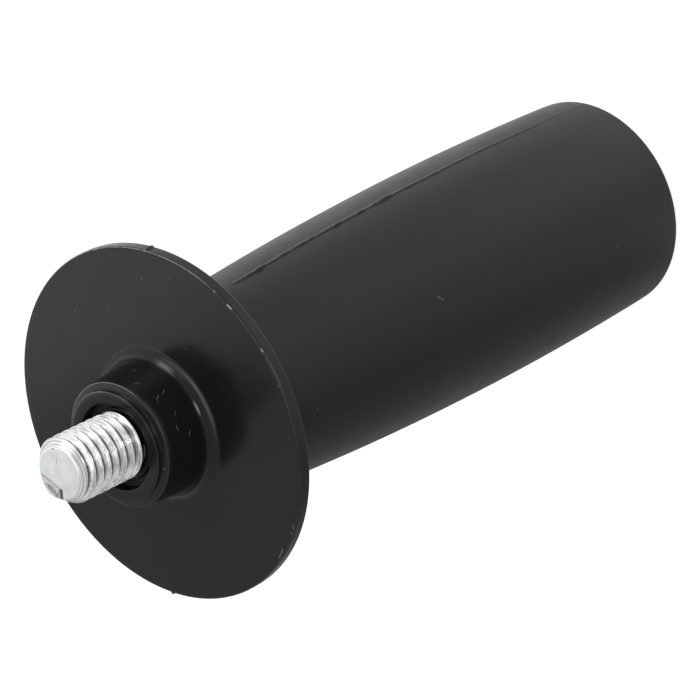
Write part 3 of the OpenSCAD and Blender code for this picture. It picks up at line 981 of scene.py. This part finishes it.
# The root, line and foot values set where painted shade lies on the thread and how dark it is; the ring,
# torn and smudge values are for real marks.
ROOT_SHADE_SHARE, RING_SHARE, TORN_SHARE, SMUDGE_SHARE, FOOT_SHADE_SHARE = 0.92, 0.60, 0.70, 0.42, 0.95
ROOT_SHADE_SHOW, ROOT_SHADE_FULL = 4.27, 4.11
FOOT_SHADE_SHOW, FOOT_SHADE_FULL = 104.60, 104.35
SHADE_LINE_R, SHADE_LINE_HALF, SHADE_LINE_SHARE = 4.66, 0.12, 0.62
ZINC_ROUGH = (0.18, 0.34)

zinc, tree = new_material("zinc_steel")
zinc_grain = use_group(tree, grain, Fine_Scale=2200.0, Coarse_Scale=500.0, Coarse_Share=0.5)
pits = use_group(tree, specks, Scale=900.0, Size=0.16, Share=0.05)["Mask"]
pitted = marks(tree, ZINC_MARKS, pits)
torn = calc(tree, "MULTIPLY", marks(tree, TORN_MARKS), TORN_SHARE)
print("placed marks on the zinc:", len(ZINC_MARKS + TORN_MARKS))

# %% [markdown]
# The roots of the thread get painted shade, and a thin line of painted shade runs along each flank a little
# below the crest. Both are masks of the radius, counted from the bolt's own axis, which leans. The blotch of
# the grain breaks the line and adds smudges. The foot of the stud, down in the recess, gets painted shade
# too. The chamfer was turned, so it has rings, which are a sine of the height.

# %% Painted shade in the roots of the thread, and the rings on the chamfer
lean_rate = (LEAN_TIP - LEAN_FOOT) / STUD_OUT
lean_way = (math.cos(LEAN_HEADING), math.sin(LEAN_HEADING), 0.0)
place = object_place(tree)
place_z = add_node(tree, "ShaderNodeSeparateXYZ", {"Vector": place}).outputs["Z"]
lean_here = calc(tree, "MULTIPLY_ADD", place_z, lean_rate, (LEAN_FOOT - lean_rate * seat_z) * MM)
straight = vector_calc(tree, "SUBTRACT", place, vector_calc(tree, "SCALE", lean_way, lean_here))
from_axis = vector_calc(tree, "LENGTH", vector_calc(tree, "MULTIPLY", straight, FLAT))
# Painted shade in the roots of the thread.
root_shade = ramp(tree, from_axis, ROOT_SHADE_SHOW * MM, ROOT_SHADE_FULL * MM, high=ROOT_SHADE_SHARE)
# A thin line of painted shade on each flank, a little below the crest.
off_crest = calc(tree, "ABSOLUTE", calc(tree, "SUBTRACT", from_axis, SHADE_LINE_R * MM))
shade_line_band = ramp(tree, off_crest, SHADE_LINE_HALF * MM, 0.3 * SHADE_LINE_HALF * MM)
shade_line_break = ramp(tree, zinc_grain["Blotch"], 0.42, 0.56, 0.08, SHADE_LINE_SHARE)
crest_shade_line = calc(tree, "MULTIPLY", shade_line_band, shade_line_break)
smudge = ramp(tree, zinc_grain["Height"], 0.49, 0.63, high=SMUDGE_SHARE)
# Painted shade on the foot of the stud, down in the recess.
foot_shade = ramp(tree, place_z, FOOT_SHADE_SHOW * MM, FOOT_SHADE_FULL * MM, high=FOOT_SHADE_SHARE)
below_cone = calc(tree, "LESS_THAN", place_z, (stud_top - END_CHAMFER) * MM)
# The painted shade of the thread, together with the smudges.
thread_shade_and_smudges = calc(tree, "MULTIPLY", chain(tree, "MAXIMUM", root_shade, crest_shade_line, smudge, foot_shade), below_cone)
ring_phase = calc(tree, "MULTIPLY", place_z, 2 * math.pi / (RIPPLE_PITCH * MM))
ring_band = ramp(tree, calc(tree, "SINE", ring_phase), 0.5, 0.95, high=RING_SHARE)
on_cone = calc(tree, "GREATER_THAN", place_z, (stud_top - 1.0) * MM)
off_flat = calc(tree, "LESS_THAN", place_z, (stud_top - 0.02) * MM)
rings = calc(tree, "MULTIPLY", ring_band, calc(tree, "MULTIPLY", on_cone, off_flat))
print("turned rings on the chamfer:", round(END_CHAMFER / RIPPLE_PITCH, 1))

# %% [markdown]
# The strongest of these masks darkens the zinc, pits and painted shade alike. Its roughness follows the
# blotch, so that it is brighter in some places than in others, as barrel plating is, and a shallow bump
# breaks up its reflections.

# %% Colour and relief of the zinc
# Pits, torn spots and rings are real marks; the thread's mask is painted shade with smudges.
dark = chain(tree, "MAXIMUM", pitted, torn, thread_shade_and_smudges, rings)
bump = add_node(tree, "ShaderNodeBump", {
    "Strength": 0.4, "Distance": RELIEF, "Height": zinc_grain["Height"]})
end_material(tree, {
    "Metallic": 1.0, "Base Color": mix(tree, "RGBA", dark, ZINC, PIT_AND_SHADE_GREY),
    "Normal": bump.outputs["Normal"], "Roughness": ramp(tree, zinc_grain["Blotch"], 0.3, 0.7, *ZINC_ROUGH)})
print("nodes in zinc_steel:", len(tree.nodes))

finished_piece("threaded_stud_skin", bolt_mesh, zinc, "zinc_steel", "threaded_stud")

# %% Update of the scene
bpy.context.view_layer.update()
